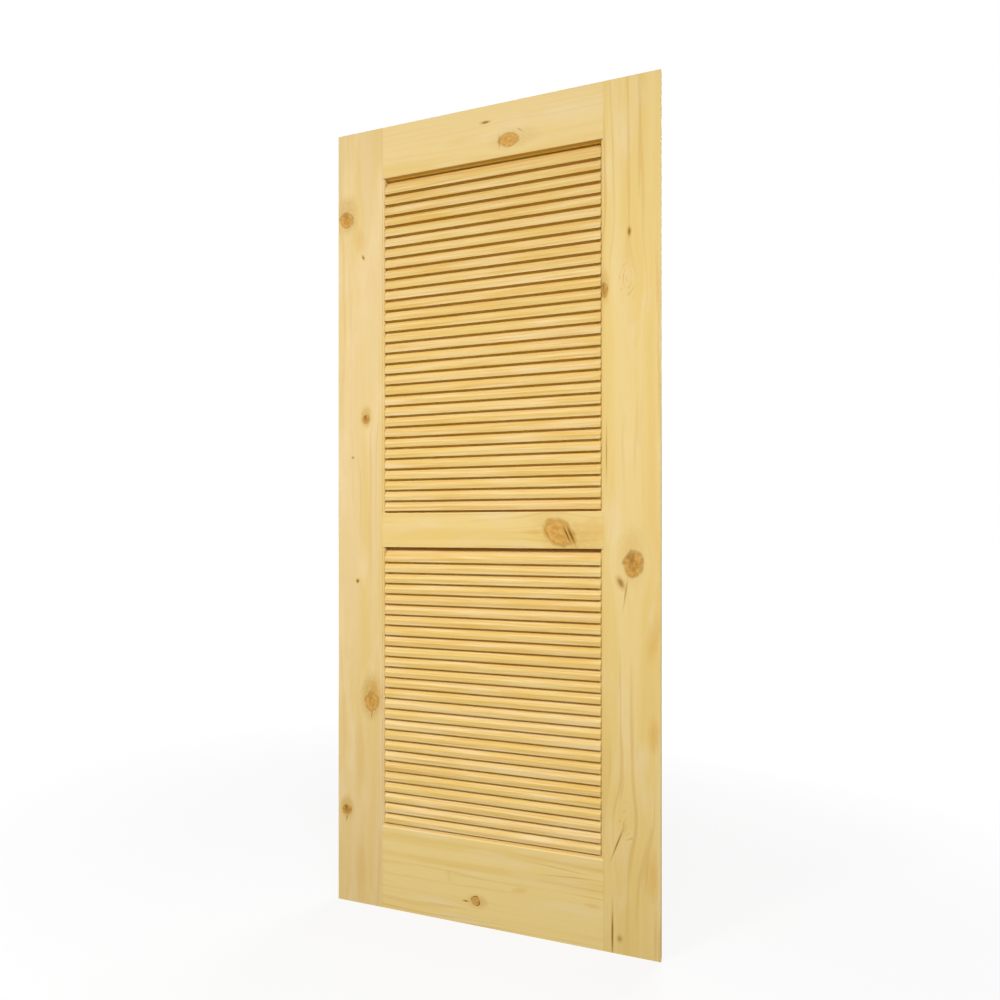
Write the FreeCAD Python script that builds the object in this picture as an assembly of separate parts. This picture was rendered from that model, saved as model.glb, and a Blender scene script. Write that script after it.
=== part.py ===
import FreeCAD, Part
import math
import os

# A louvred closet door leaf in solid pine: two stiles, three rails between them, and two banks of
# fixed slats. The stiles' inner edges are moulded with an ovolo, which is a small step and a quarter
# round, and the rails' ends are coped over it and dowelled. Each slat has a stub tenon at both ends,
# which sits in a slanted stopped mortise in the stile, and its two long edges are cut flush with the
# door's faces. The top slat of each bank stands in a rebate in the rail above it.
# Millimetres. X runs along the door's width, Y through its thickness with the front facing -Y,
# and Z up. The origin is the middle of the door's foot.

# ---- driving dimensions ----------------------------------------------------------------------

DOOR_HEIGHT = 2032.0
DOOR_WIDTH = 812.8
DOOR_THICKNESS = 28.575

STILE_WIDTH = 133.35                # with its moulded edge
TOP_RAIL_HEIGHT = 133.35
MIDDLE_RAIL_FRONT_HEIGHT = 88.9
MIDDLE_RAIL_LOWER_EDGE = 938.7      # above the door's foot
MIDDLE_RAIL_LAND = 9.0              # flat front part of its top, before the bevel
BOTTOM_RAIL_FRONT_HEIGHT = 211.0
MOULDING_RADIUS = 6.35              # of the ovolo along the stiles' inner edges
MOULDING_STEP = 1.0                 # from the stile's face down to the ovolo
EDGE_RADIUS = 1.5                   # eased outer edges of the stiles and free edges of the rails

SLAT_THICKNESS = 7.4
SLAT_TILT = 51.0                    # degrees from level, front edge low
SLAT_RECESS = 0.3                   # from the door's faces to the slat's two upright edges
SLAT_EASING = 0.8                   # along each side of a slat's eased corner
SLAT_PITCH = 27.4                   # wanted; each bank rounds it to a whole number of slats
UPPER_BANK_HEAD_LAP = 4.0           # how far the top slat stands up in the rail above it
LOWER_BANK_HEAD_LAP = 8.0
UPPER_BANK_FOOT_GAP = 4.8           # from the lowest slat down to the rail's front edge, upright
LOWER_BANK_FOOT_GAP = 11.2
REBATE_CLEARANCE = 0.4              # between the top slat and its rebate, all round
SLAT_SHOULDER_GAP = 0.2             # between a slat's shoulder and the stile
TENON_LENGTH = 9.0
TENON_MARGIN = 0.75                 # from the stile's mouldings to the slat's tenon
TENON_CLEARANCE = 0.15              # all round, between tenon and mortise
MORTISE_END_GAP = 0.8               # beyond the tenon's end

DOWEL_DIAMETER = 10.0
DOWEL_DEPTH = 45.0                  # in each of the two boards
DOWEL_END_GAP = 1.0                 # glue space at each end of the hole
DOWEL_CLEARANCE = 0.05              # on the radius
DOWEL_MARGIN = 24.0                 # from a rail's front edge to the centre of its outermost dowel
NARROW_RAIL_DOWELS = 2              # per joint
BOTTOM_RAIL_DOWELS = 3              # per joint

LOWER_SLATS_PER_NODE = 2            # keeps the part within its number of files

# ---- worked-out sizes ------------------------------------------------------------------------

FRONT = -DOOR_THICKNESS / 2
BACK = DOOR_THICKNESS / 2
INNER_EDGE = DOOR_WIDTH / 2 - STILE_WIDTH       # |x| of a stile's inner face
JOINT_LINE = INNER_EDGE + MOULDING_RADIUS       # |x| where a stile's flat faces end
MOULDING_DEPTH = MOULDING_STEP + MOULDING_RADIUS

SLOPE = math.tan(math.radians(SLAT_TILT))
SQUARE_TO_UPRIGHT = 1 / math.cos(math.radians(SLAT_TILT))
SLAT_FRONT = FRONT + SLAT_RECESS
SLAT_BACK = BACK - SLAT_RECESS
SLAT_EDGE_HEIGHT = SLAT_THICKNESS * SQUARE_TO_UPRIGHT   # of a slat's upright edge
SLAT_HEIGHT = (SLAT_BACK - SLAT_FRONT) * SLOPE + SLAT_EDGE_HEIGHT
TENON_FRONT = FRONT + MOULDING_DEPTH + TENON_MARGIN
TENON_BACK = BACK - MOULDING_DEPTH - TENON_MARGIN

TOP_RAIL_LOWER_EDGE = DOOR_HEIGHT - TOP_RAIL_HEIGHT
MIDDLE_RAIL_UPPER_EDGE = MIDDLE_RAIL_LOWER_EDGE + MIDDLE_RAIL_FRONT_HEIGHT


def slat_heights(rail_edge_below, foot_gap, rail_edge_above, head_lap):
    """Heights of the slats' lower front edges in one bank, from the top slat down."""
    lowest = rail_edge_below + foot_gap
    highest = rail_edge_above + head_lap - SLAT_HEIGHT
    steps = max(1, round((highest - lowest) / SLAT_PITCH))
    pitch = (highest - lowest) / steps
    return [highest - step * pitch for step in range(steps + 1)]


UPPER_SLATS = slat_heights(
    MIDDLE_RAIL_UPPER_EDGE, UPPER_BANK_FOOT_GAP, TOP_RAIL_LOWER_EDGE, UPPER_BANK_HEAD_LAP)
LOWER_SLATS = slat_heights(
    BOTTOM_RAIL_FRONT_HEIGHT, LOWER_BANK_FOOT_GAP, MIDDLE_RAIL_LOWER_EDGE, LOWER_BANK_HEAD_LAP)


def dowel_heights(lower_edge, upper_edge, count):
    """Centres of one joint's dowels, spread evenly between the rail's margins."""
    lowest = lower_edge + DOWEL_MARGIN
    step = (upper_edge - DOWEL_MARGIN - lowest) / (count - 1)
    return [lowest + index * step for index in range(count)]


TOP_DOWELS = dowel_heights(TOP_RAIL_LOWER_EDGE, DOOR_HEIGHT, NARROW_RAIL_DOWELS)
MIDDLE_DOWELS = dowel_heights(MIDDLE_RAIL_LOWER_EDGE, MIDDLE_RAIL_UPPER_EDGE, NARROW_RAIL_DOWELS)
BOTTOM_DOWELS = dowel_heights(0.0, BOTTOM_RAIL_FRONT_HEIGHT, BOTTOM_RAIL_DOWELS)

# ---- helpers ---------------------------------------------------------------------------------


def prism(points, x_start, x_end):
    """A closed outline of (y, z) points, extruded along X."""
    corners = [FreeCAD.Vector(x_start, y, z) for y, z in points]
    outline = Part.makePolygon(corners + corners[:1])
    return Part.Face(outline).extrude(FreeCAD.Vector(x_end - x_start, 0, 0))


def eased(points, easing):
    """The outline with each corner cut off, the same distance along both of its sides."""
    corners = [FreeCAD.Vector(0, y, z) for y, z in points]
    cut = []
    for index, corner in enumerate(corners):
        for neighbour in (corners[index - 1], corners[(index + 1) % len(corners)]):
            side = (neighbour - corner).normalize()
            point = corner + side * easing
            cut.append((point.y, point.z))
    return cut


def edges_along(shape, axis, places):
    """The shape's straight edges along an axis (0 is X, 2 is Z) that pass through one of the
    places, which are given in the two other axes."""
    across = [index for index in range(3) if index != axis]

    def passes(edge, place):
        return all(abs(vertex.Point[index] - value) < 1e-6
                   for vertex in edge.Vertexes for index, value in zip(across, place))

    return [edge for edge in shape.Edges if any(passes(edge, place) for place in places)]


def save(node, solids):
    """Write one node: a single solid, or a group of separate solids."""
    shape = solids[0] if len(solids) == 1 else Part.makeCompound(solids)
    shape.exportStep("parts/" + node + ".step")
    print(node, len(shape.Solids), "solid(s)", round(shape.Volume / 1000.0, 1), "cm3")


# ---- slats and their mortises ----------------------------------------------------------------


def slat_outline(y_front, y_back, spare=0.0):
    """The outline between a slat's two sloping faces from y_front to y_back, made wider all
    round by the spare distance. The slat's lower front edge is at height 0."""
    y_front -= spare
    y_back += spare
    lift = spare * SQUARE_TO_UPRIGHT
    front_foot = (y_front - SLAT_FRONT) * SLOPE - lift
    back_foot = (y_back - SLAT_FRONT) * SLOPE - lift
    edge_height = SLAT_EDGE_HEIGHT + 2 * lift
    return [(y_front, front_foot), (y_back, back_foot),
            (y_back, back_foot + edge_height), (y_front, front_foot + edge_height)]


def slat():
    """One slat with eased long edges and a stub tenon at each end, between the mouldings."""
    shoulder = INNER_EDGE - SLAT_SHOULDER_GAP
    tenon_end = INNER_EDGE + TENON_LENGTH
    blade = prism(eased(slat_outline(SLAT_FRONT, SLAT_BACK), SLAT_EASING), -shoulder, shoulder)
    tenons = prism(slat_outline(TENON_FRONT, TENON_BACK), -tenon_end, tenon_end)
    return blade.fuse(tenons).removeSplitter()


def mortise(side, height):
    """The slanted stopped mortise for one slat, as the solid that is cut from a stile."""
    outline = slat_outline(TENON_FRONT, TENON_BACK, TENON_CLEARANCE)
    bottom = INNER_EDGE + TENON_LENGTH + MORTISE_END_GAP
    return placed(prism(outline, side * INNER_EDGE, side * bottom), height)


def placed(shape, height):
    """A copy of the shape, lifted to a height."""
    copy = shape.copy()
    copy.translate(FreeCAD.Vector(0, 0, height))
    return copy


# ---- dowels and their holes ------------------------------------------------------------------


def round_bar(side, height, radius, length):
    """A round bar along X, centred on a joint of rail and stile."""
    start = FreeCAD.Vector(side * INNER_EDGE - length / 2, 0, height)
    return Part.makeCylinder(radius, length, start, FreeCAD.Vector(1, 0, 0))


def dowel(side, height):
    """One dowel across a joint of rail and stile."""
    return round_bar(side, height, DOWEL_DIAMETER / 2, 2 * (DOWEL_DEPTH - DOWEL_END_GAP))


def dowel_hole(side, height):
    """The hole for one dowel, through both boards."""
    return round_bar(side, height, DOWEL_DIAMETER / 2 + DOWEL_CLEARANCE, 2 * DOWEL_DEPTH)


# ---- stiles and rails ------------------------------------------------------------------------


def stile_blank(side):
    """A stile's whole length with an ovolo along both inner edges, before its joints are cut."""
    def point(x, y):
        return FreeCAD.Vector(side * x, y, 0)

    def line(first, second):
        return Part.LineSegment(first, second).toShape()

    def ovolo(face, inward):
        """The step and the quarter round below one face, from the flat face to the inner edge."""
        top = point(JOINT_LINE, face)
        step_foot = point(JOINT_LINE, face + inward * MOULDING_STEP)
        on_arc = point(JOINT_LINE - MOULDING_RADIUS * math.sin(math.radians(45)),
                       face + inward * (MOULDING_DEPTH - MOULDING_RADIUS * math.cos(math.radians(45))))
        arc_foot = point(INNER_EDGE, face + inward * MOULDING_DEPTH)
        return top, arc_foot, [line(top, step_foot), Part.Arc(step_foot, on_arc, arc_foot).toShape()]

    outer_front, outer_back = point(DOOR_WIDTH / 2, FRONT), point(DOOR_WIDTH / 2, BACK)
    front_top, front_foot, front_ovolo = ovolo(FRONT, 1)
    back_top, back_foot, back_ovolo = ovolo(BACK, -1)
    section = ([line(outer_front, front_top)] + front_ovolo + [line(front_foot, back_foot)]
               + back_ovolo[::-1] + [line(back_top, outer_back), line(outer_back, outer_front)])
    board = Part.Face(Part.Wire(section)).extrude(FreeCAD.Vector(0, 0, DOOR_HEIGHT))
    outer_edges = [(corner.x, corner.y) for corner in (outer_front, outer_back)]
    return board.makeFillet(EDGE_RADIUS, edges_along(board, 2, outer_edges))


def stile(side):
    """One full-height upright, with its slat mortises and dowel holes."""
    cutters = [mortise(side, height) for height in UPPER_SLATS + LOWER_SLATS]
    cutters += [dowel_hole(side, height) for height in TOP_DOWELS + MIDDLE_DOWELS + BOTTOM_DOWELS]
    return stile_blank(side).cut(cutters)


def rail(outline, eased_corners, dowels, slats_below=()):
    """One cross board with coped ends and dowel holes, and with a rebate for the top one of the
    slats below it. The corners of its (y, z) outline that are free edges are eased."""
    board = prism(outline, -JOINT_LINE, JOINT_LINE)
    board = board.makeFillet(EDGE_RADIUS, edges_along(board, 0, eased_corners))
    cutters = [stile_blank(side) for side in (-1, 1)]
    cutters += [dowel_hole(side, height) for side in (-1, 1) for height in dowels]
    if slats_below:
        seat = prism(slat_outline(SLAT_FRONT, BACK, REBATE_CLEARANCE), -INNER_EDGE, INNER_EDGE)
        cutters.append(placed(seat, slats_below[0]))
    return board.cut(cutters)


def top_rail():
    """The top rail, square at its top and at its underside."""
    lower_front = (FRONT, TOP_RAIL_LOWER_EDGE)
    outline = [lower_front, (BACK, TOP_RAIL_LOWER_EDGE), (BACK, DOOR_HEIGHT), (FRONT, DOOR_HEIGHT)]
    return rail(outline, [lower_front], TOP_DOWELS, UPPER_SLATS)


def middle_rail():
    """The middle rail, whose top has a flat land in front and then rises at the slats' slope."""
    lower_front = (FRONT, MIDDLE_RAIL_LOWER_EDGE)
    upper_front = (FRONT, MIDDLE_RAIL_UPPER_EDGE)
    land_end = (FRONT + MIDDLE_RAIL_LAND, MIDDLE_RAIL_UPPER_EDGE)
    upper_back = (BACK, MIDDLE_RAIL_UPPER_EDGE + (DOOR_THICKNESS - MIDDLE_RAIL_LAND) * SLOPE)
    outline = [lower_front, (BACK, MIDDLE_RAIL_LOWER_EDGE), upper_back, land_end, upper_front]
    return rail(outline, [lower_front, upper_back, upper_front], MIDDLE_DOWELS, LOWER_SLATS)


def bottom_rail():
    """The bottom rail, whose top rises at the slats' slope from its front edge."""
    upper_front = (FRONT, BOTTOM_RAIL_FRONT_HEIGHT)
    upper_back = (BACK, BOTTOM_RAIL_FRONT_HEIGHT + DOOR_THICKNESS * SLOPE)
    outline = [(FRONT, 0.0), (BACK, 0.0), upper_back, upper_front]
    return rail(outline, [upper_back, upper_front], BOTTOM_DOWELS)


# ---- the nodes -------------------------------------------------------------------------------


def main():
    os.makedirs("parts", exist_ok=True)

    save("left_stile", [stile(-1)])
    save("right_stile", [stile(1)])
    save("top_rail", [top_rail()])
    save("middle_rail", [middle_rail()])
    save("bottom_rail", [bottom_rail()])

    for name, dowels in (("top_rail_dowels", TOP_DOWELS),
                         ("middle_rail_dowels", MIDDLE_DOWELS),
                         ("bottom_rail_dowels", BOTTOM_DOWELS)):
        save(name, [dowel(side, height) for side in (-1, 1) for height in dowels])

    blank = slat()
    for number, height in enumerate(UPPER_SLATS, start=1):
        save("upper_slat_%02d" % number, [placed(blank, height)])
    for first in range(0, len(LOWER_SLATS), LOWER_SLATS_PER_NODE):
        heights = LOWER_SLATS[first:first + LOWER_SLATS_PER_NODE]
        numbers = "_".join("%02d" % (first + 1 + index) for index in range(len(heights)))
        save("lower_slats_" + numbers, [placed(blank, height) for height in heights])


main()
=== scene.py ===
import math

import bpy
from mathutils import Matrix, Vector


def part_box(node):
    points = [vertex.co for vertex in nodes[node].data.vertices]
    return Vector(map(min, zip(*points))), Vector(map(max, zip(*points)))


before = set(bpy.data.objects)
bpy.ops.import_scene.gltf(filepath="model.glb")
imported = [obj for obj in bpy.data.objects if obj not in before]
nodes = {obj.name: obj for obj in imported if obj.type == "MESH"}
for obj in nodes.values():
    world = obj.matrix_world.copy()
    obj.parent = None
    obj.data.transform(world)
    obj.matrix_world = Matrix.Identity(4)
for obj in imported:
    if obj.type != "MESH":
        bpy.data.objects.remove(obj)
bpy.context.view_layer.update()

# The louvred pine door leaf in its studio. Every solid comes from the frame. This script gives
# each one its wood, and adds the floor, the lamps and the camera. Metres, with the front facing
# -Y and the grain running up the stiles and along the rails and slats.

# ---- places, worked out from the frame -------------------------------------------------------

SLAT_TILT = math.radians(51)           # from level, rising towards the back
SLOPE = math.tan(SLAT_TILT)

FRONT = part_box("left_stile")[0].y
DOOR_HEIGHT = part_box("left_stile")[1].z
DOOR_MIDDLE = (0.0, 0.0, DOOR_HEIGHT / 2)
RAIL_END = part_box("top_rail")[1].x

# The slats' nodes, from the top one down
UPPER_SLATS = sorted(name for name in nodes if name.startswith("upper_slat_"))
LOWER_SLATS = sorted(name for name in nodes if name.startswith("lower_slats_"))
SLATS_PER_UPPER_NODE = 1
SLATS_PER_LOWER_NODE = 2


def pitch_of(names, slats_per_node):
    """The distance from slat to slat in one bank."""
    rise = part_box(names[0])[0].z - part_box(names[-1])[0].z
    return rise / ((len(names) - 1) * slats_per_node)


# ---- colours and surfaces --------------------------------------------------------------------


def colour(red, green, blue):
    """A colour given as it looks on a screen, 0 to 255, as the linear values that nodes take."""
    def linear(value):
        share = value / 255
        return share / 12.92 if share <= 0.04045 else ((share + 0.055) / 1.055) ** 2.4
    return (linear(red), linear(green), linear(blue), 1.0)


LEFT_STILE_WOOD = colour(228, 200, 142)
RIGHT_STILE_WOOD = colour(232, 204, 136)
TOP_RAIL_WOOD = colour(234, 206, 143)
MIDDLE_RAIL_WOOD = colour(234, 204, 133)
BOTTOM_RAIL_WOOD = colour(236, 208, 137)
SLAT_WOOD = colour(224, 192, 117)
PALE_WOOD = colour(236, 212, 164)
YELLOW_WOOD = colour(226, 192, 108)
LATE_WOOD = colour(200, 152, 74)
ORANGE_WOOD = colour(216, 168, 78)
# A light yellow painted onto surfaces deep in the gaps, as painted bounce light
PAINTED_BOUNCE_LIGHT = colour(250, 228, 120)
KNOT_LIGHT = colour(221, 170, 87)
KNOT_DARK = colour(168, 121, 52)
KNOT_HALO = colour(202, 160, 80)
CRACK = colour(118, 74, 10)
JOINT_SHADE = colour(170, 132, 70)
BEECH = colour(205, 175, 130)
BEECH_FLECK = colour(176, 140, 96)

FLOOR_PAINT = (0.14, 0.14, 0.14, 1.0)
WHITE = (1.0, 1.0, 1.0, 1.0)

GLOSS = 0.1
PINE_ROUGHNESS, BEECH_ROUGHNESS = 0.6, 0.7
WOOD_RELIEF = 0.0001

# ---- a short way to write node trees ---------------------------------------------------------

# A Mix node has sockets for each kind of value. These are its sockets for colours.
MIX_FACTOR, MIX_FIRST, MIX_SECOND = 0, 6, 7
MIX_RESULT = 2


class Graph:
    """The node tree of a material or of the world, with calls that add a node, link it and
    return its result. What a call is given may be a plain value or another call's result."""

    def __init__(self, owner):
        self.owner = owner
        owner.use_nodes = True
        self.tree = owner.node_tree
        self.tree.nodes.clear()

    def add(self, kind, inputs=(), **settings):
        node = self.tree.nodes.new(kind)
        for key, value in settings.items():
            setattr(node, key, value)
        for key, value in dict(inputs).items():
            self.feed(value, node.inputs[key])
        return node

    def feed(self, value, socket):
        if isinstance(value, bpy.types.NodeSocket):
            self.tree.links.new(value, socket)
        else:
            socket.default_value = value

    def math(self, operation, *values):
        return self.add("ShaderNodeMath", enumerate(values), operation=operation).outputs[0]

    def plus(self, first, second):
        return self.math("ADD", first, second)

    def minus(self, first, second):
        return self.math("SUBTRACT", first, second)

    def times(self, first, second):
        return self.math("MULTIPLY", first, second)

    def vector(self, x, y, z):
        return self.add("ShaderNodeCombineXYZ", {"X": x, "Y": y, "Z": z}).outputs[0]

    def vector_math(self, operation, *vectors):
        node = self.add("ShaderNodeVectorMath", enumerate(vectors), operation=operation)
        return node.outputs["Value" if operation == "LENGTH" else "Vector"]

    def ramp(self, value, low, high, start=0.0, end=1.0):
        """Start below the low value, end above the high one, and a smooth change between."""
        node = self.add(
            "ShaderNodeMapRange",
            {"Value": value, "From Min": low, "From Max": high, "To Min": start, "To Max": end},
            interpolation_type="SMOOTHSTEP")
        return node.outputs[0]

    def noise(self, vector, scale=1.0, detail=2.0, roughness=0.5, output="Fac"):
        """Smooth noise, about 0.5 on average: one value, or three of them as the output Color."""
        node = self.add(
            "ShaderNodeTexNoise",
            {"Vector": vector, "Scale": scale, "Detail": detail, "Roughness": roughness})
        return node.outputs[output]

    def random(self, value):
        """A random number from 0 to 1 for each whole number."""
        node = self.add("ShaderNodeTexWhiteNoise", {"W": value}, noise_dimensions="1D")
        return node.outputs["Value"]

    def mix(self, factor, first, second):
        """The first colour where the factor is 0, and the second where it is 1."""
        colours = {MIX_FACTOR: factor, MIX_FIRST: first, MIX_SECOND: second}
        return self.add("ShaderNodeMix", colours, data_type="RGBA").outputs[MIX_RESULT]

    def place(self):
        """The surface point's x, y and z in metres. They are the object's own coordinates, which
        are the world's here, because every object stands at the world's origin."""
        source = self.add("ShaderNodeTexCoord").outputs["Object"]
        parts = self.add("ShaderNodeSeparateXYZ", {0: source})
        return parts.outputs["X"], parts.outputs["Y"], parts.outputs["Z"]

    def seen(self):
        """1 where the camera looks, also by way of a glossy or a clear surface, and 0 for the
        light that falls on things."""
        rays = self.add("ShaderNodeLightPath").outputs
        by_way = self.math("MAXIMUM", rays["Is Glossy Ray"], rays["Is Transmission Ray"])
        return self.math("MAXIMUM", rays["Is Camera Ray"], by_way)

    def wood(self, surface_colour, roughness, height):
        """The finished material: a colour, and the height of a fine relief from 0 to 1."""
        bump = self.add(
            "ShaderNodeBump", {"Height": height, "Distance": WOOD_RELIEF, "Strength": 1.0})
        shader = self.add("ShaderNodeBsdfPrincipled", {
            "Base Color": surface_colour, "Roughness": roughness,
            "Specular IOR Level": GLOSS, "Normal": bump.outputs["Normal"]})
        self.add("ShaderNodeOutputMaterial", {"Surface": shader.outputs[0]})
        return self.owner


def material_graph(name):
    """The empty node tree of a new material."""
    return Graph(bpy.data.materials.new(name))


# ---- the grain of a board --------------------------------------------------------------------


class Grain:
    """How a board is grown: a seed for its chance, the metres from year line to year line, how
    far the lines wander sideways in metres, how dark they are, and how much finer than on a
    broad board its bands and clouds are."""

    def __init__(self, seed, spacing, wander, contrast, fineness=1.0):
        self.seed, self.spacing = seed, spacing
        self.wander, self.contrast = wander, contrast
        self.fineness = fineness


class Figure:
    """Noise drawn out along the grain: how fine it is along and across the grain, per metre, what
    it adds to the board's seed, and how much detail it has and how rough that is."""

    def __init__(self, along, across, shift=0, detail=2.0, roughness=0.5):
        self.along, self.across = along, across
        self.shift = shift
        self.detail, self.roughness = detail, roughness


WANDER = Figure(1.2, 3.0)                          # how far the year lines stray
WAVER = Figure(1.1, 22.0, shift=3, detail=3.0)     # how unevenly they follow one another
LINES_SHOWN = Figure(2.0, 11.0, shift=9)           # where they show
BANDS = Figure(0.9, 24.0, shift=5)                 # where the wood is yellower
CLOUDS = Figure(5.0, 18.0, shift=13, detail=3.0)   # where it is paler
FIBRE = Figure(16.0, 480.0, detail=3.0, roughness=0.6)
SLAT_STREAKS = Figure(6.0, 230.0, shift=21, detail=3.0, roughness=0.6)
DOWEL_FLECKS = Figure(90.0, 900.0)

# Shares are those of a tone that is mixed into the wood's colour, where it is strongest.
WAVER_REACH = 3.0                      # how many lines the waver can move a line by
LATE_FROM = 0.55                       # the height of a year's wave where the late wood starts
BAND_SHARE, CLOUD_SHARE = 0.55, 0.60
FIBRE_SHARE, FIBRE_SHARE_PER_FINENESS = 0.10, 0.05
LINE_RELIEF, FIBRE_RELIEF = 0.3, 0.7

LINE_LEAN = 0.35                       # how far lines move across a board, per metre through it
BEND_FADE = -0.22                      # how fast their bend round a knot fades
BEND_LEAST, BEND_PER_DEPTH = 0.5, 0.8


def drawn_out(graph, board, figure, seed=0.0, fineness=1.0):
    """A figure's noise at a board's point, made finer across the grain by the fineness."""
    along, across, through = board
    per_metre = figure.across * fineness
    point = graph.vector(
        graph.plus(graph.times(along, figure.along), seed + figure.shift),
        graph.times(across, per_metre), graph.times(through, per_metre))
    return graph.noise(point, detail=figure.detail, roughness=figure.roughness)


def grain_flow(graph, board, spots):
    """The point's place across the board, with the grain lines bent round each spot."""
    along, across, through = board
    flow = graph.plus(across, graph.times(through, LINE_LEAN))
    for spot in spots:
        distance = graph.vector_math("LENGTH", seen_from(graph, board, spot))
        fade = graph.times(graph.times(distance, distance), BEND_FADE)
        pull = graph.times(graph.math("POWER", math.e, fade),
                           BEND_LEAST + BEND_PER_DEPTH * spot.depth)
        flow = graph.minus(flow, graph.times(graph.minus(across, spot.across), pull))
    return flow


def pine(graph, board, base, grain, knots=(), swirls=(), patches=(), marks=()):
    """Colour and relief of a pine board, from its point's places along, across and through it.

    The grain flows round the knots, and round the swirls, which are knots under the surface.
    Patches are stained orange, and marks are small checks and bark.
    """
    along, _, through = board
    flow = grain_flow(graph, board, [*knots, *swirls])

    def figure(kind, fineness=1.0):
        return drawn_out(graph, (along, flow, through), kind, grain.seed, fineness)

    wander = graph.times(graph.minus(figure(WANDER), 0.5), 2 * grain.wander)
    phase = graph.plus(graph.times(graph.plus(flow, wander), 1 / grain.spacing),
                       graph.times(figure(WAVER), WAVER_REACH))
    wave = graph.math("SINE", graph.times(phase, 2 * math.pi))
    line = graph.ramp(wave, LATE_FROM, 1.0)
    shown = graph.ramp(figure(LINES_SHOWN), 0.46, 0.66, end=grain.contrast)
    bands = graph.ramp(figure(BANDS, grain.fineness), 0.42, 0.66, end=BAND_SHARE)
    clouds = graph.ramp(figure(CLOUDS, grain.fineness), 0.48, 0.75, end=CLOUD_SHARE)
    fibre = figure(FIBRE)
    fibre_share = FIBRE_SHARE + FIBRE_SHARE_PER_FINENESS * grain.fineness

    wood = graph.mix(bands, base, YELLOW_WOOD)
    wood = graph.mix(clouds, wood, PALE_WOOD)
    for patch in patches:
        wood = patch_colour(graph, wood, seen_from(graph, board, patch), patch)
    wood = graph.mix(graph.times(line, shown), wood, LATE_WOOD)
    for swirl in swirls:
        wood = swirl_colour(graph, wood, seen_from(graph, board, swirl), swirl)
    wood = graph.mix(graph.ramp(fibre, 0.5, 0.85, end=fibre_share), wood, LATE_WOOD)
    for knot in knots:
        wood = knot_colour(graph, wood, seen_from(graph, board, knot), knot)
    for mark in marks:
        wood = mark_colour(graph, wood, seen_from(graph, board, mark), mark)
    relief = graph.plus(graph.times(line, LINE_RELIEF), graph.times(fibre, FIBRE_RELIEF))
    return wood, relief


# ---- spots: patches, swirls, knots and marks -------------------------------------------------


class Spot:
    """An ellipse on a board: its middle along and across the board, half its length and half its
    width in metres, how dark it is, the turn of its length from the grain in degrees, and for a
    knot how strongly it stains the wood round it and how dark its outline is."""

    def __init__(self, along, across, length, width, depth, turn=0.0, stain=0.6, rim=0.25):
        self.along, self.across = along, across
        self.length, self.width = length, width
        self.depth, self.turn = depth, math.radians(turn)
        self.stain, self.rim = stain, rim


# Measures round a spot are in its own radii, so that its plain rim is at 1.
SPOT_SEED = 31                         # sets the chance of each spot apart from the others'
FINE_PUSH, BROAD_PUSH = 1.6, 0.9       # the fineness of what makes rims uneven

PATCH_PUSH, PATCH_FADE = 0.40, (0.2, 1.3)
MARK_PUSH, MARK_FADE, MARK_HALO_FADE = 0.35, (0.2, 1.2), (0.6, 2.0)

SWIRL_PUSH, SWIRL_FADE = 0.50, (0.9, 1.5)
SWIRL_ARCS = 15.0                      # radians of the arcs' wave from the middle to the rim
SWIRL_GAPS = 1.1                       # the fineness of the gaps in the arcs

KNOT_PUSH, KNOT_EDGE = 0.38, (0.78, 1.14)
KNOT_RINGS, KNOT_RINGS_PUSH = 13.0, 6.0      # radians from the middle to the rim, and by chance
KNOT_RINGS_SHADE = 0.13
KNOT_MIDDLE_SHADE, KNOT_RIM_SHADE = 0.75, 0.25
KNOT_SPECKS = {"scale": 2.6, "detail": 3.0, "roughness": 0.7}
KNOT_RAYS, KNOT_RAYS_DRIFT = 1.5, 0.3        # their fineness, and how they change outwards

# A knot's stain is a wider ellipse, with its middle farther along the grain.
STAIN_SCALE, STAIN_SHIFT = (0.55, 0.85, 0.0), (-0.3, 0.0, 0.0)
STAIN_FADE = (0.6, 1.7)


def seen_from(graph, board, spot):
    """The board's point as seen from a spot's middle: 1 long at the spot's rim."""
    along, across, _ = board
    step_along = graph.minus(along, spot.along)
    step_across = graph.minus(across, spot.across)
    lengthwise = graph.plus(graph.times(step_along, math.cos(spot.turn)),
                            graph.times(step_across, math.sin(spot.turn)))
    crosswise = graph.minus(graph.times(step_across, math.cos(spot.turn)),
                            graph.times(step_along, math.sin(spot.turn)))
    return graph.vector(graph.times(lengthwise, 1 / spot.length),
                        graph.times(crosswise, 1 / spot.width), 0.0)


def uneven(graph, point, spot, reach, fineness):
    """A point seen from a spot, and its distance from the spot's middle, after chance has pushed
    it about by up to a reach. It makes the spot's rim uneven."""
    source = graph.vector_math("ADD", point, (0.0, 0.0, spot.along * SPOT_SEED))
    chance = graph.noise(source, fineness, detail=3.0, roughness=0.6, output="Color")
    push = graph.vector_math(
        "MULTIPLY_ADD", chance, (2 * reach, 2 * reach, 0.0), (-reach, -reach, 0.0))
    pushed = graph.vector_math("ADD", point, push)
    return pushed, graph.vector_math("LENGTH", pushed)


def patch_colour(graph, wood, seen, patch):
    """The wood's colour with an orange patch laid over it."""
    _, distance = uneven(graph, seen, patch, PATCH_PUSH, FINE_PUSH)
    return graph.mix(graph.ramp(distance, *PATCH_FADE, patch.depth, 0.0), wood, ORANGE_WOOD)


def mark_colour(graph, wood, seen, mark):
    """The wood's colour with a dark mark and its halo laid over it."""
    _, distance = uneven(graph, seen, mark, MARK_PUSH, FINE_PUSH)
    wood = graph.mix(graph.ramp(distance, *MARK_HALO_FADE, mark.depth, 0.0), wood, KNOT_HALO)
    return graph.mix(graph.ramp(distance, *MARK_FADE, mark.depth, 0.0), wood, CRACK)


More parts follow.
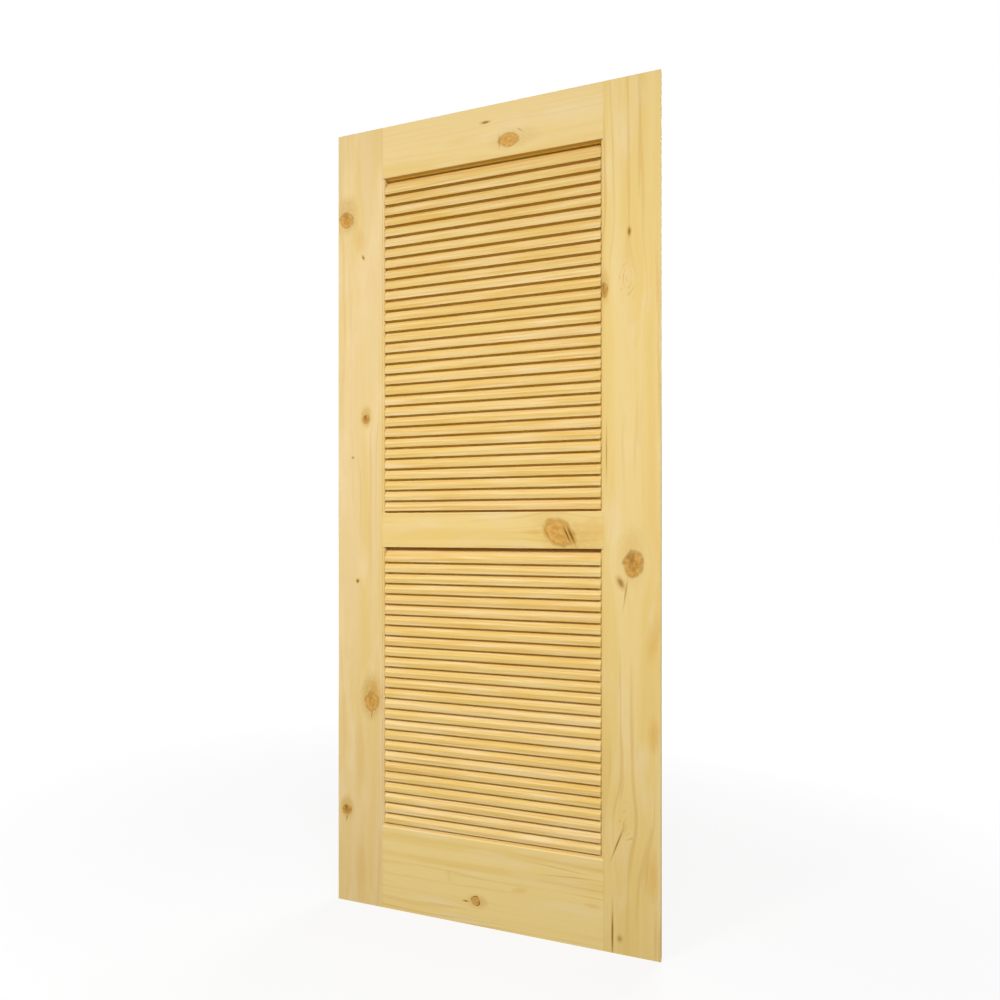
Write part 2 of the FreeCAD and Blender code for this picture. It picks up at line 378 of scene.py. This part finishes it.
def swirl_colour(graph, wood, seen, swirl):
    """The wood's colour with the faint broken arcs of a swirl laid over it."""
    point, distance = uneven(graph, seen, swirl, SWIRL_PUSH, BROAD_PUSH)
    arcs = graph.ramp(graph.math("SINE", graph.times(distance, SWIRL_ARCS)), 0.4, 1.0)
    near = graph.ramp(distance, *SWIRL_FADE, swirl.depth, 0.0)
    broken = graph.ramp(graph.noise(point, SWIRL_GAPS), 0.45, 0.65)
    return graph.mix(graph.times(arcs, graph.times(near, broken)), wood, LATE_WOOD)


def knot_colour(graph, wood, seen, knot):
    """The wood's colour with a knot laid over it. The knot stains the wood round it, and farther
    on one side along the grain. It has year rings, a few cracks from its middle and a broken
    dark outline."""
    point, distance = uneven(graph, seen, knot, KNOT_PUSH, BROAD_PUSH)
    specks = graph.noise(point, **KNOT_SPECKS)
    drift = graph.vector(0.0, 0.0, graph.times(distance, KNOT_RAYS_DRIFT))
    heading = graph.vector_math("ADD", graph.vector_math("NORMALIZE", point), drift)
    rays = graph.noise(heading, KNOT_RAYS)

    rings = graph.math("SINE", graph.plus(graph.times(distance, KNOT_RINGS),
                                          graph.times(specks, KNOT_RINGS_PUSH)))
    shade = graph.plus(graph.times(rings, KNOT_RINGS_SHADE),
                       graph.ramp(specks, 0.35, 0.65, 0.05, 0.45))
    shade = graph.plus(shade, graph.ramp(
        distance, 0.1, 0.9, KNOT_MIDDLE_SHADE * knot.depth, KNOT_RIM_SHADE * knot.depth))
    core = graph.mix(shade, KNOT_LIGHT, KNOT_DARK)
    cracks = graph.times(graph.ramp(rays, 0.56, 0.66), graph.ramp(distance, 0.1, 0.4, 0.2, 0.6))
    core = graph.mix(graph.times(cracks, knot.depth), core, CRACK)

    stained = graph.vector_math("MULTIPLY_ADD", point, STAIN_SCALE, STAIN_SHIFT)
    stain = graph.times(graph.ramp(graph.vector_math("LENGTH", stained), *STAIN_FADE, 1.0, 0.0),
                        graph.ramp(specks, 0.3, 0.6, 0.4, 1.0))
    wood = graph.mix(graph.times(stain, knot.stain), wood, KNOT_HALO)
    wood = graph.mix(graph.ramp(distance, *KNOT_EDGE, 1.0, 0.0), wood, core)

    edge_start, edge_end = KNOT_EDGE
    outline = graph.times(graph.ramp(distance, edge_start, 0.98),
                          graph.ramp(distance, 1.0, edge_end, 1.0, 0.0))
    broken = graph.ramp(rays, 0.42, 0.60, 0.1 * knot.rim, knot.rim)
    return graph.mix(graph.times(outline, broken), wood, CRACK)


# ---- the woods of the door -------------------------------------------------------------------

# Distances from a face or an edge, in metres, over which a tone comes or goes
RAIL_TURNS_IN = (0.0004, 0.003)
RAIL_END_FACE = (0.002, 0.004)
RAIL_PAINTED_LIGHT_DEPTH = (0.010, 0.017)
JOINT_LINE = (0.0003, 0.0016)
SLAT_SHADED = (0.004, 0.018)
SLAT_COVERED_FROM, SLAT_COVERED_TO = (0.009, 0.014), (0.015, 0.019)
BELOW_TOP_SLAT = 0.003

# The rails' turned-in share and the slats' shaded share are painted shade; the slats' covered
# share and the rails' deep tone are painted bounce light.
RAIL_PAINTED_SHADE_SHARE, JOINT_SHARE = 0.55, 0.22
SLAT_SHADED_SHARE, SLAT_PAINTED_LIGHT_SHARE = 0.35, 0.85
ORANGE_SLAT_SHARE, PALE_SLAT_SHARE, STREAK_SHARE = 0.30, 0.35, 0.60

SLAT_TO_SLAT = 1.7                     # metres of noise from one slat's wood to the next one's
OTHER_CHANCE = 50                      # sets a slat's second random number apart from the first


def stile_wood(name, base, grain, **features):
    """Wood of a stile, with its grain running up."""
    graph = material_graph(name)
    x, y, z = graph.place()
    wood, relief = pine(graph, (z, x, y), base, grain, **features)
    return graph.wood(wood, PINE_ROUGHNESS, relief)


def rail_wood(name, base, grain, painted_light_share=0.0, **features):
    """Wood of a rail, with its grain running along. The surfaces that turn in towards the slats
    are painted browner, as painted shade, and there is a faint shade line at both joints. The
    painted light share is how much light yellow, as painted bounce light, lies on those surfaces
    deep behind the front."""
    graph = material_graph(name)
    x, y, z = graph.place()
    wood, relief = pine(graph, (x, z, y), base, grain, **features)

    from_face = graph.minus(-FRONT, graph.math("ABSOLUTE", y))
    above_middle = graph.minus(z, DOOR_HEIGHT / 2)
    from_end = graph.minus(DOOR_HEIGHT / 2, graph.math("ABSOLUTE", above_middle))
    turned_in = graph.times(graph.ramp(from_face, *RAIL_TURNS_IN),
                            graph.ramp(from_end, *RAIL_END_FACE))
    # Painted shade: the surfaces that turn in towards the slats get the late wood's brown.
    wood = graph.mix(graph.times(turned_in, RAIL_PAINTED_SHADE_SHARE), wood, LATE_WOOD)
    # Painted light: deep behind the front, those surfaces get a light yellow, as bounce light.
    deep = graph.ramp(graph.minus(y, FRONT), *RAIL_PAINTED_LIGHT_DEPTH, end=painted_light_share)
    wood = graph.mix(graph.times(turned_in, deep), wood, PAINTED_BOUNCE_LIGHT)

    from_joint = graph.minus(RAIL_END, graph.math("ABSOLUTE", x))
    wood = graph.mix(graph.ramp(from_joint, *JOINT_LINE, JOINT_SHARE, 0.0), wood, JOINT_SHADE)
    return graph.wood(wood, PINE_ROUGHNESS, relief)


def slat_wood(name, seed, names, slats_per_node):
    """Wood of one bank's slats. The slats lie in layers, and each layer is a board of its own,
    with streaks along it. It is painted more orange towards the back, as painted shade in the
    gaps. Where the slat above hides it from the front, it is painted a light yellow, as painted
    bounce light, which the top slat, under its rail, doesn't have."""
    pitch = pitch_of(names, slats_per_node)
    lowest_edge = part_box(names[-1])[0].z
    second_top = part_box(names[0])[1].z - pitch
    graph = material_graph(name)
    x, y, z = graph.place()

    behind = graph.minus(y, FRONT)
    height = graph.minus(z, graph.times(behind, SLOPE))
    layers_up = graph.times(graph.minus(height, lowest_edge - pitch / 4), 1 / pitch)
    layer = graph.math("FLOOR", layers_up)
    chance = graph.random(graph.plus(layer, seed))
    other_chance = graph.random(graph.plus(layer, seed + OTHER_CHANCE))
    along = graph.plus(x, graph.times(layer, SLAT_TO_SLAT))

    base = graph.mix(graph.ramp(chance, 0.5, 1.0, end=ORANGE_SLAT_SHARE), SLAT_WOOD, ORANGE_WOOD)
    base = graph.mix(graph.ramp(other_chance, 0.5, 1.0, end=PALE_SLAT_SHARE), base, PALE_WOOD)
    grain = Grain(seed, spacing=0.007, wander=0.02, contrast=0.4, fineness=4.0)
    wood, relief = pine(graph, (along, z, y), base, grain)
    streaks = drawn_out(graph, (along, z, y), SLAT_STREAKS, seed)
    wood = graph.mix(graph.ramp(streaks, 0.50, 0.68, end=STREAK_SHARE), wood, ORANGE_WOOD)
    wood = graph.mix(graph.ramp(streaks, 0.34, 0.50, STREAK_SHARE, 0.0), wood, PALE_WOOD)

    # Painted shade: more orange towards the back, as the shade in the gaps.
    wood = graph.mix(graph.ramp(behind, *SLAT_SHADED, end=SLAT_SHADED_SHARE), wood, ORANGE_WOOD)
    # Painted light: a light yellow, as bounce light, where the slat above hides it from the
    # front.
    covered = graph.times(graph.ramp(behind, *SLAT_COVERED_FROM, end=SLAT_PAINTED_LIGHT_SHARE),
                          graph.ramp(behind, *SLAT_COVERED_TO, 1.0, 0.0))
    below_top = graph.ramp(z, second_top, second_top + BELOW_TOP_SLAT, 1.0, 0.0)
    wood = graph.mix(graph.times(covered, below_top), wood, PAINTED_BOUNCE_LIGHT)
    return graph.wood(wood, PINE_ROUGHNESS, relief)


def dowel_wood(name):
    """Plain beech, with short flecks along the dowel."""
    graph = material_graph(name)
    flecks = drawn_out(graph, graph.place(), DOWEL_FLECKS)
    wood = graph.mix(graph.ramp(flecks, 0.5, 0.75), BEECH, BEECH_FLECK)
    return graph.wood(wood, BEECH_ROUGHNESS, flecks)


# ---- what grew in each board -----------------------------------------------------------------

LEFT_STILE = {
    "knots": [
        Spot(1.807, -0.381, 0.021, 0.020, 0.40),
        Spot(1.274, -0.326, 0.012, 0.010, 0.90, stain=0.8),
        Spot(0.533, -0.309, 0.025, 0.020, 0.25, stain=0.8),
        Spot(0.241, -0.381, 0.013, 0.013, 0.90, stain=0.7)],
    "patches": [
        Spot(1.745, -0.343, 0.045, 0.018, 0.30, turn=-15),
        Spot(0.566, -0.302, 0.026, 0.012, 0.80, turn=-12),
        Spot(0.390, -0.345, 0.110, 0.016, 0.35),
        Spot(0.090, -0.341, 0.090, 0.017, 0.35)],
    "marks": [
        Spot(1.701, -0.334, 0.006, 0.0030, 0.75, turn=-20),
        Spot(1.175, -0.364, 0.003, 0.0035, 0.60),
        Spot(0.849, -0.350, 0.005, 0.0040, 0.95),
        Spot(0.502, -0.309, 0.014, 0.0013, 0.60, turn=10),
        Spot(0.221, -0.381, 0.010, 0.0015, 0.60, turn=12)],
}
RIGHT_STILE = {
    "knots": [
        Spot(0.904, 0.345, 0.031, 0.022, 0.55, stain=0.25),
        Spot(1.543, 0.281, 0.018, 0.008, 0.70)],
    "swirls": [
        Spot(1.565, 0.332, 0.040, 0.018, 0.50),
        Spot(0.300, 0.332, 0.040, 0.016, 0.50)],
    "patches": [
        Spot(0.735, 0.390, 0.060, 0.016, 0.45, turn=8),
        Spot(0.515, 0.391, 0.045, 0.013, 0.50),
        Spot(0.190, 0.389, 0.060, 0.013, 0.45),
        Spot(0.942, 0.342, 0.035, 0.020, 0.15)],
    "marks": [
        Spot(1.673, 0.3370, 0.010, 0.0035, 0.80),
        Spot(0.861, 0.3180, 0.014, 0.0065, 0.60, turn=-25),
        Spot(0.838, 0.3290, 0.030, 0.0018, 0.40, turn=8),
        Spot(1.166, 0.2860, 0.055, 0.0014, 0.45),
        Spot(0.257, 0.3110, 0.033, 0.0017, 0.70, turn=20),
        Spot(0.045, 0.2995, 0.050, 0.0022, 0.75),
        Spot(0.036, 0.3160, 0.008, 0.0060, 0.35)],
}
TOP_RAIL = {
    "knots": [
        Spot(0.053, 1.939, 0.025, 0.017, 0.0, stain=0.3)],
    "patches": [
        Spot(-0.073, 1.958, 0.030, 0.012, 0.15)],
    "marks": [
        Spot(-0.004, 1.992, 0.0100, 0.0030, 0.75),
        Spot(0.031, 1.938, 0.0015, 0.0140, 0.50),
        Spot(0.082, 1.958, 0.0080, 0.0014, 0.35, turn=-35)],
}
MIDDLE_RAIL = {
    "knots": [
        Spot(0.177, 0.977, 0.041, 0.030, 0.0, turn=-35, stain=0.4)],
    "patches": [
        Spot(0.260, 0.985, 0.050, 0.030, 0.40),
        Spot(0.115, 0.979, 0.030, 0.008, 0.40)],
    "marks": [
        Spot(0.1945, 0.974, 0.024, 0.0026, 0.90, turn=-66),
        Spot(0.2045, 0.972, 0.025, 0.0036, 0.90, turn=-66),
        Spot(0.1480, 0.974, 0.020, 0.0022, 0.35, turn=-62)],
}
BOTTOM_RAIL = {
    "knots": [
        Spot(-0.029, 0.061, 0.011, 0.011, 0.10, stain=0.5, rim=0.9)],
    "patches": [
        Spot(0.082, 0.107, 0.022, 0.008, 0.35, turn=10),
        Spot(0.255, 0.101, 0.022, 0.007, 0.35),
        Spot(-0.098, 0.112, 0.007, 0.018, 0.20, turn=15)],
    "marks": [
        Spot(-0.054, 0.057, 0.007, 0.0022, 0.70),
        Spot(0.175, 0.176, 0.060, 0.0011, 0.25, turn=-4),
        Spot(0.190, 0.158, 0.050, 0.0011, 0.25, turn=3)],
}

# ---- dressing the nodes ----------------------------------------------------------------------


def dress(names, material):
    """Give CAD nodes their wood."""
    for name in names:
        for slot in nodes[name].material_slots:
            slot.material = material
        if not nodes[name].material_slots:
            nodes[name].data.materials.append(material)


dress(["left_stile"], stile_wood(
    "left_stile_pine", LEFT_STILE_WOOD,
    Grain(3.0, spacing=0.026, wander=0.030, contrast=0.20), **LEFT_STILE))
dress(["right_stile"], stile_wood(
    "right_stile_pine", RIGHT_STILE_WOOD,
    Grain(11.0, spacing=0.034, wander=0.045, contrast=0.34), **RIGHT_STILE))
# Only the top rail has painted bounce light deep behind its front.
dress(["top_rail"], rail_wood(
    "top_rail_pine", TOP_RAIL_WOOD,
    Grain(19.0, spacing=0.018, wander=0.020, contrast=0.10), painted_light_share=1.0, **TOP_RAIL))
dress(["middle_rail"], rail_wood(
    "middle_rail_pine", MIDDLE_RAIL_WOOD,
    Grain(27.0, spacing=0.018, wander=0.020, contrast=0.22), **MIDDLE_RAIL))
dress(["bottom_rail"], rail_wood(
    "bottom_rail_pine", BOTTOM_RAIL_WOOD,
    Grain(35.0, spacing=0.020, wander=0.030, contrast=0.34, fineness=1.6), **BOTTOM_RAIL))
dress(UPPER_SLATS, slat_wood("upper_slat_pine", 43.0, UPPER_SLATS, SLATS_PER_UPPER_NODE))
dress(LOWER_SLATS, slat_wood("lower_slat_pine", 57.0, LOWER_SLATS, SLATS_PER_LOWER_NODE))
dress(["top_rail_dowels", "middle_rail_dowels", "bottom_rail_dowels"], dowel_wood("dowel_beech"))

# ---- floor, light and camera -----------------------------------------------------------------

FLOOR_REACH = 60.0                     # from the door to the floor's edges
FLOOR_WHITENS = (0.8, 4.0)             # from the door's middle
FLOOR_GLOW, WHITE_GLOW = 0.80, 1.0     # near the door and far off
WORLD_LIGHT = 0.39

CAMERA_PLACE = (0.4958, -1.8889, 0.9833)
CAMERA_YAW = math.radians(22.269)      # to the left, from facing the door square on
CAMERA_LENS, CAMERA_SENSOR = 28.0, 36.0      # mm
CAMERA_SHIFT = (0.1149, 0.0301)


def new_object(name, data):
    """An object in the scene that shows a mesh, a lamp or a camera."""
    thing = bpy.data.objects.new(name, data)
    bpy.context.scene.collection.objects.link(thing)
    return thing


def make_floor():
    """A pale floor that keeps the door's soft shadow and is white farther off."""
    graph = material_graph("studio_floor")
    x, y, _ = graph.place()
    distance = graph.vector_math("LENGTH", graph.vector(x, y, 0.0))
    whiteness = graph.ramp(distance, *FLOOR_WHITENS, FLOOR_GLOW, WHITE_GLOW)
    glow = graph.times(whiteness, graph.seen())
    lit = graph.add("ShaderNodeBsdfDiffuse", {"Color": FLOOR_PAINT})
    glowing = graph.add("ShaderNodeEmission", {"Color": WHITE, "Strength": glow})
    both = graph.add("ShaderNodeAddShader", {0: lit.outputs[0], 1: glowing.outputs[0]})
    graph.add("ShaderNodeOutputMaterial", {"Surface": both.outputs[0]})

    reach = FLOOR_REACH
    mesh = bpy.data.meshes.new("studio_floor")
    corners = [(-reach, -reach, 0), (reach, -reach, 0), (reach, reach, 0), (-reach, reach, 0)]
    mesh.from_pydata(corners, [], [(0, 1, 2, 3)])
    mesh.materials.append(graph.owner)
    floor = new_object("studio_floor", mesh)


def make_world():
    """Even light from all round, and white behind the door."""
    world = bpy.data.worlds.new("studio")
    bpy.context.scene.world = world
    graph = Graph(world)
    strength = graph.ramp(graph.seen(), 0.0, 1.0, WORLD_LIGHT, WHITE_GLOW)
    background = graph.add("ShaderNodeBackground", {"Color": WHITE, "Strength": strength})
    graph.add("ShaderNodeOutputWorld", {"Surface": background.outputs[0]})


def make_lamp(name, place, target, size, watts):
    """A soft lamp of a width and a height that points at a target."""
    lamp = bpy.data.lights.new(name, "AREA")
    lamp.shape = "RECTANGLE"
    lamp.size, lamp.size_y = size
    lamp.energy = watts
    body = new_object(name, lamp)
    body.location = place
    body.rotation_euler = (Vector(target) - Vector(place)).to_track_quat("-Z", "Y").to_euler()


def make_camera():
    """A level camera a little past the door's right edge, turned to the left."""
    camera_data = bpy.data.cameras.new("camera")
    camera_data.lens, camera_data.sensor_width = CAMERA_LENS, CAMERA_SENSOR
    camera_data.shift_x, camera_data.shift_y = CAMERA_SHIFT
    camera = new_object("camera", camera_data)
    camera.location = CAMERA_PLACE
    camera.rotation_euler = (math.radians(90), 0.0, CAMERA_YAW)
    bpy.context.scene.camera = camera


make_floor()
make_world()
make_lamp("key", place=(0.95, -2.6, 2.5), target=(0.45, -1.6, 0.5), size=(2.0, 0.7), watts=74)
make_lamp("fill", place=(-1.5, -2.6, 2.6), target=(-2.5, -1.6, -0.8), size=(1.6, 0.6), watts=76)
make_lamp("back", place=(0.8, 3.4, 2.8), target=DOOR_MIDDLE, size=(2.0, 2.0), watts=90)
make_camera()
bpy.context.scene.view_settings.view_transform = "Standard"
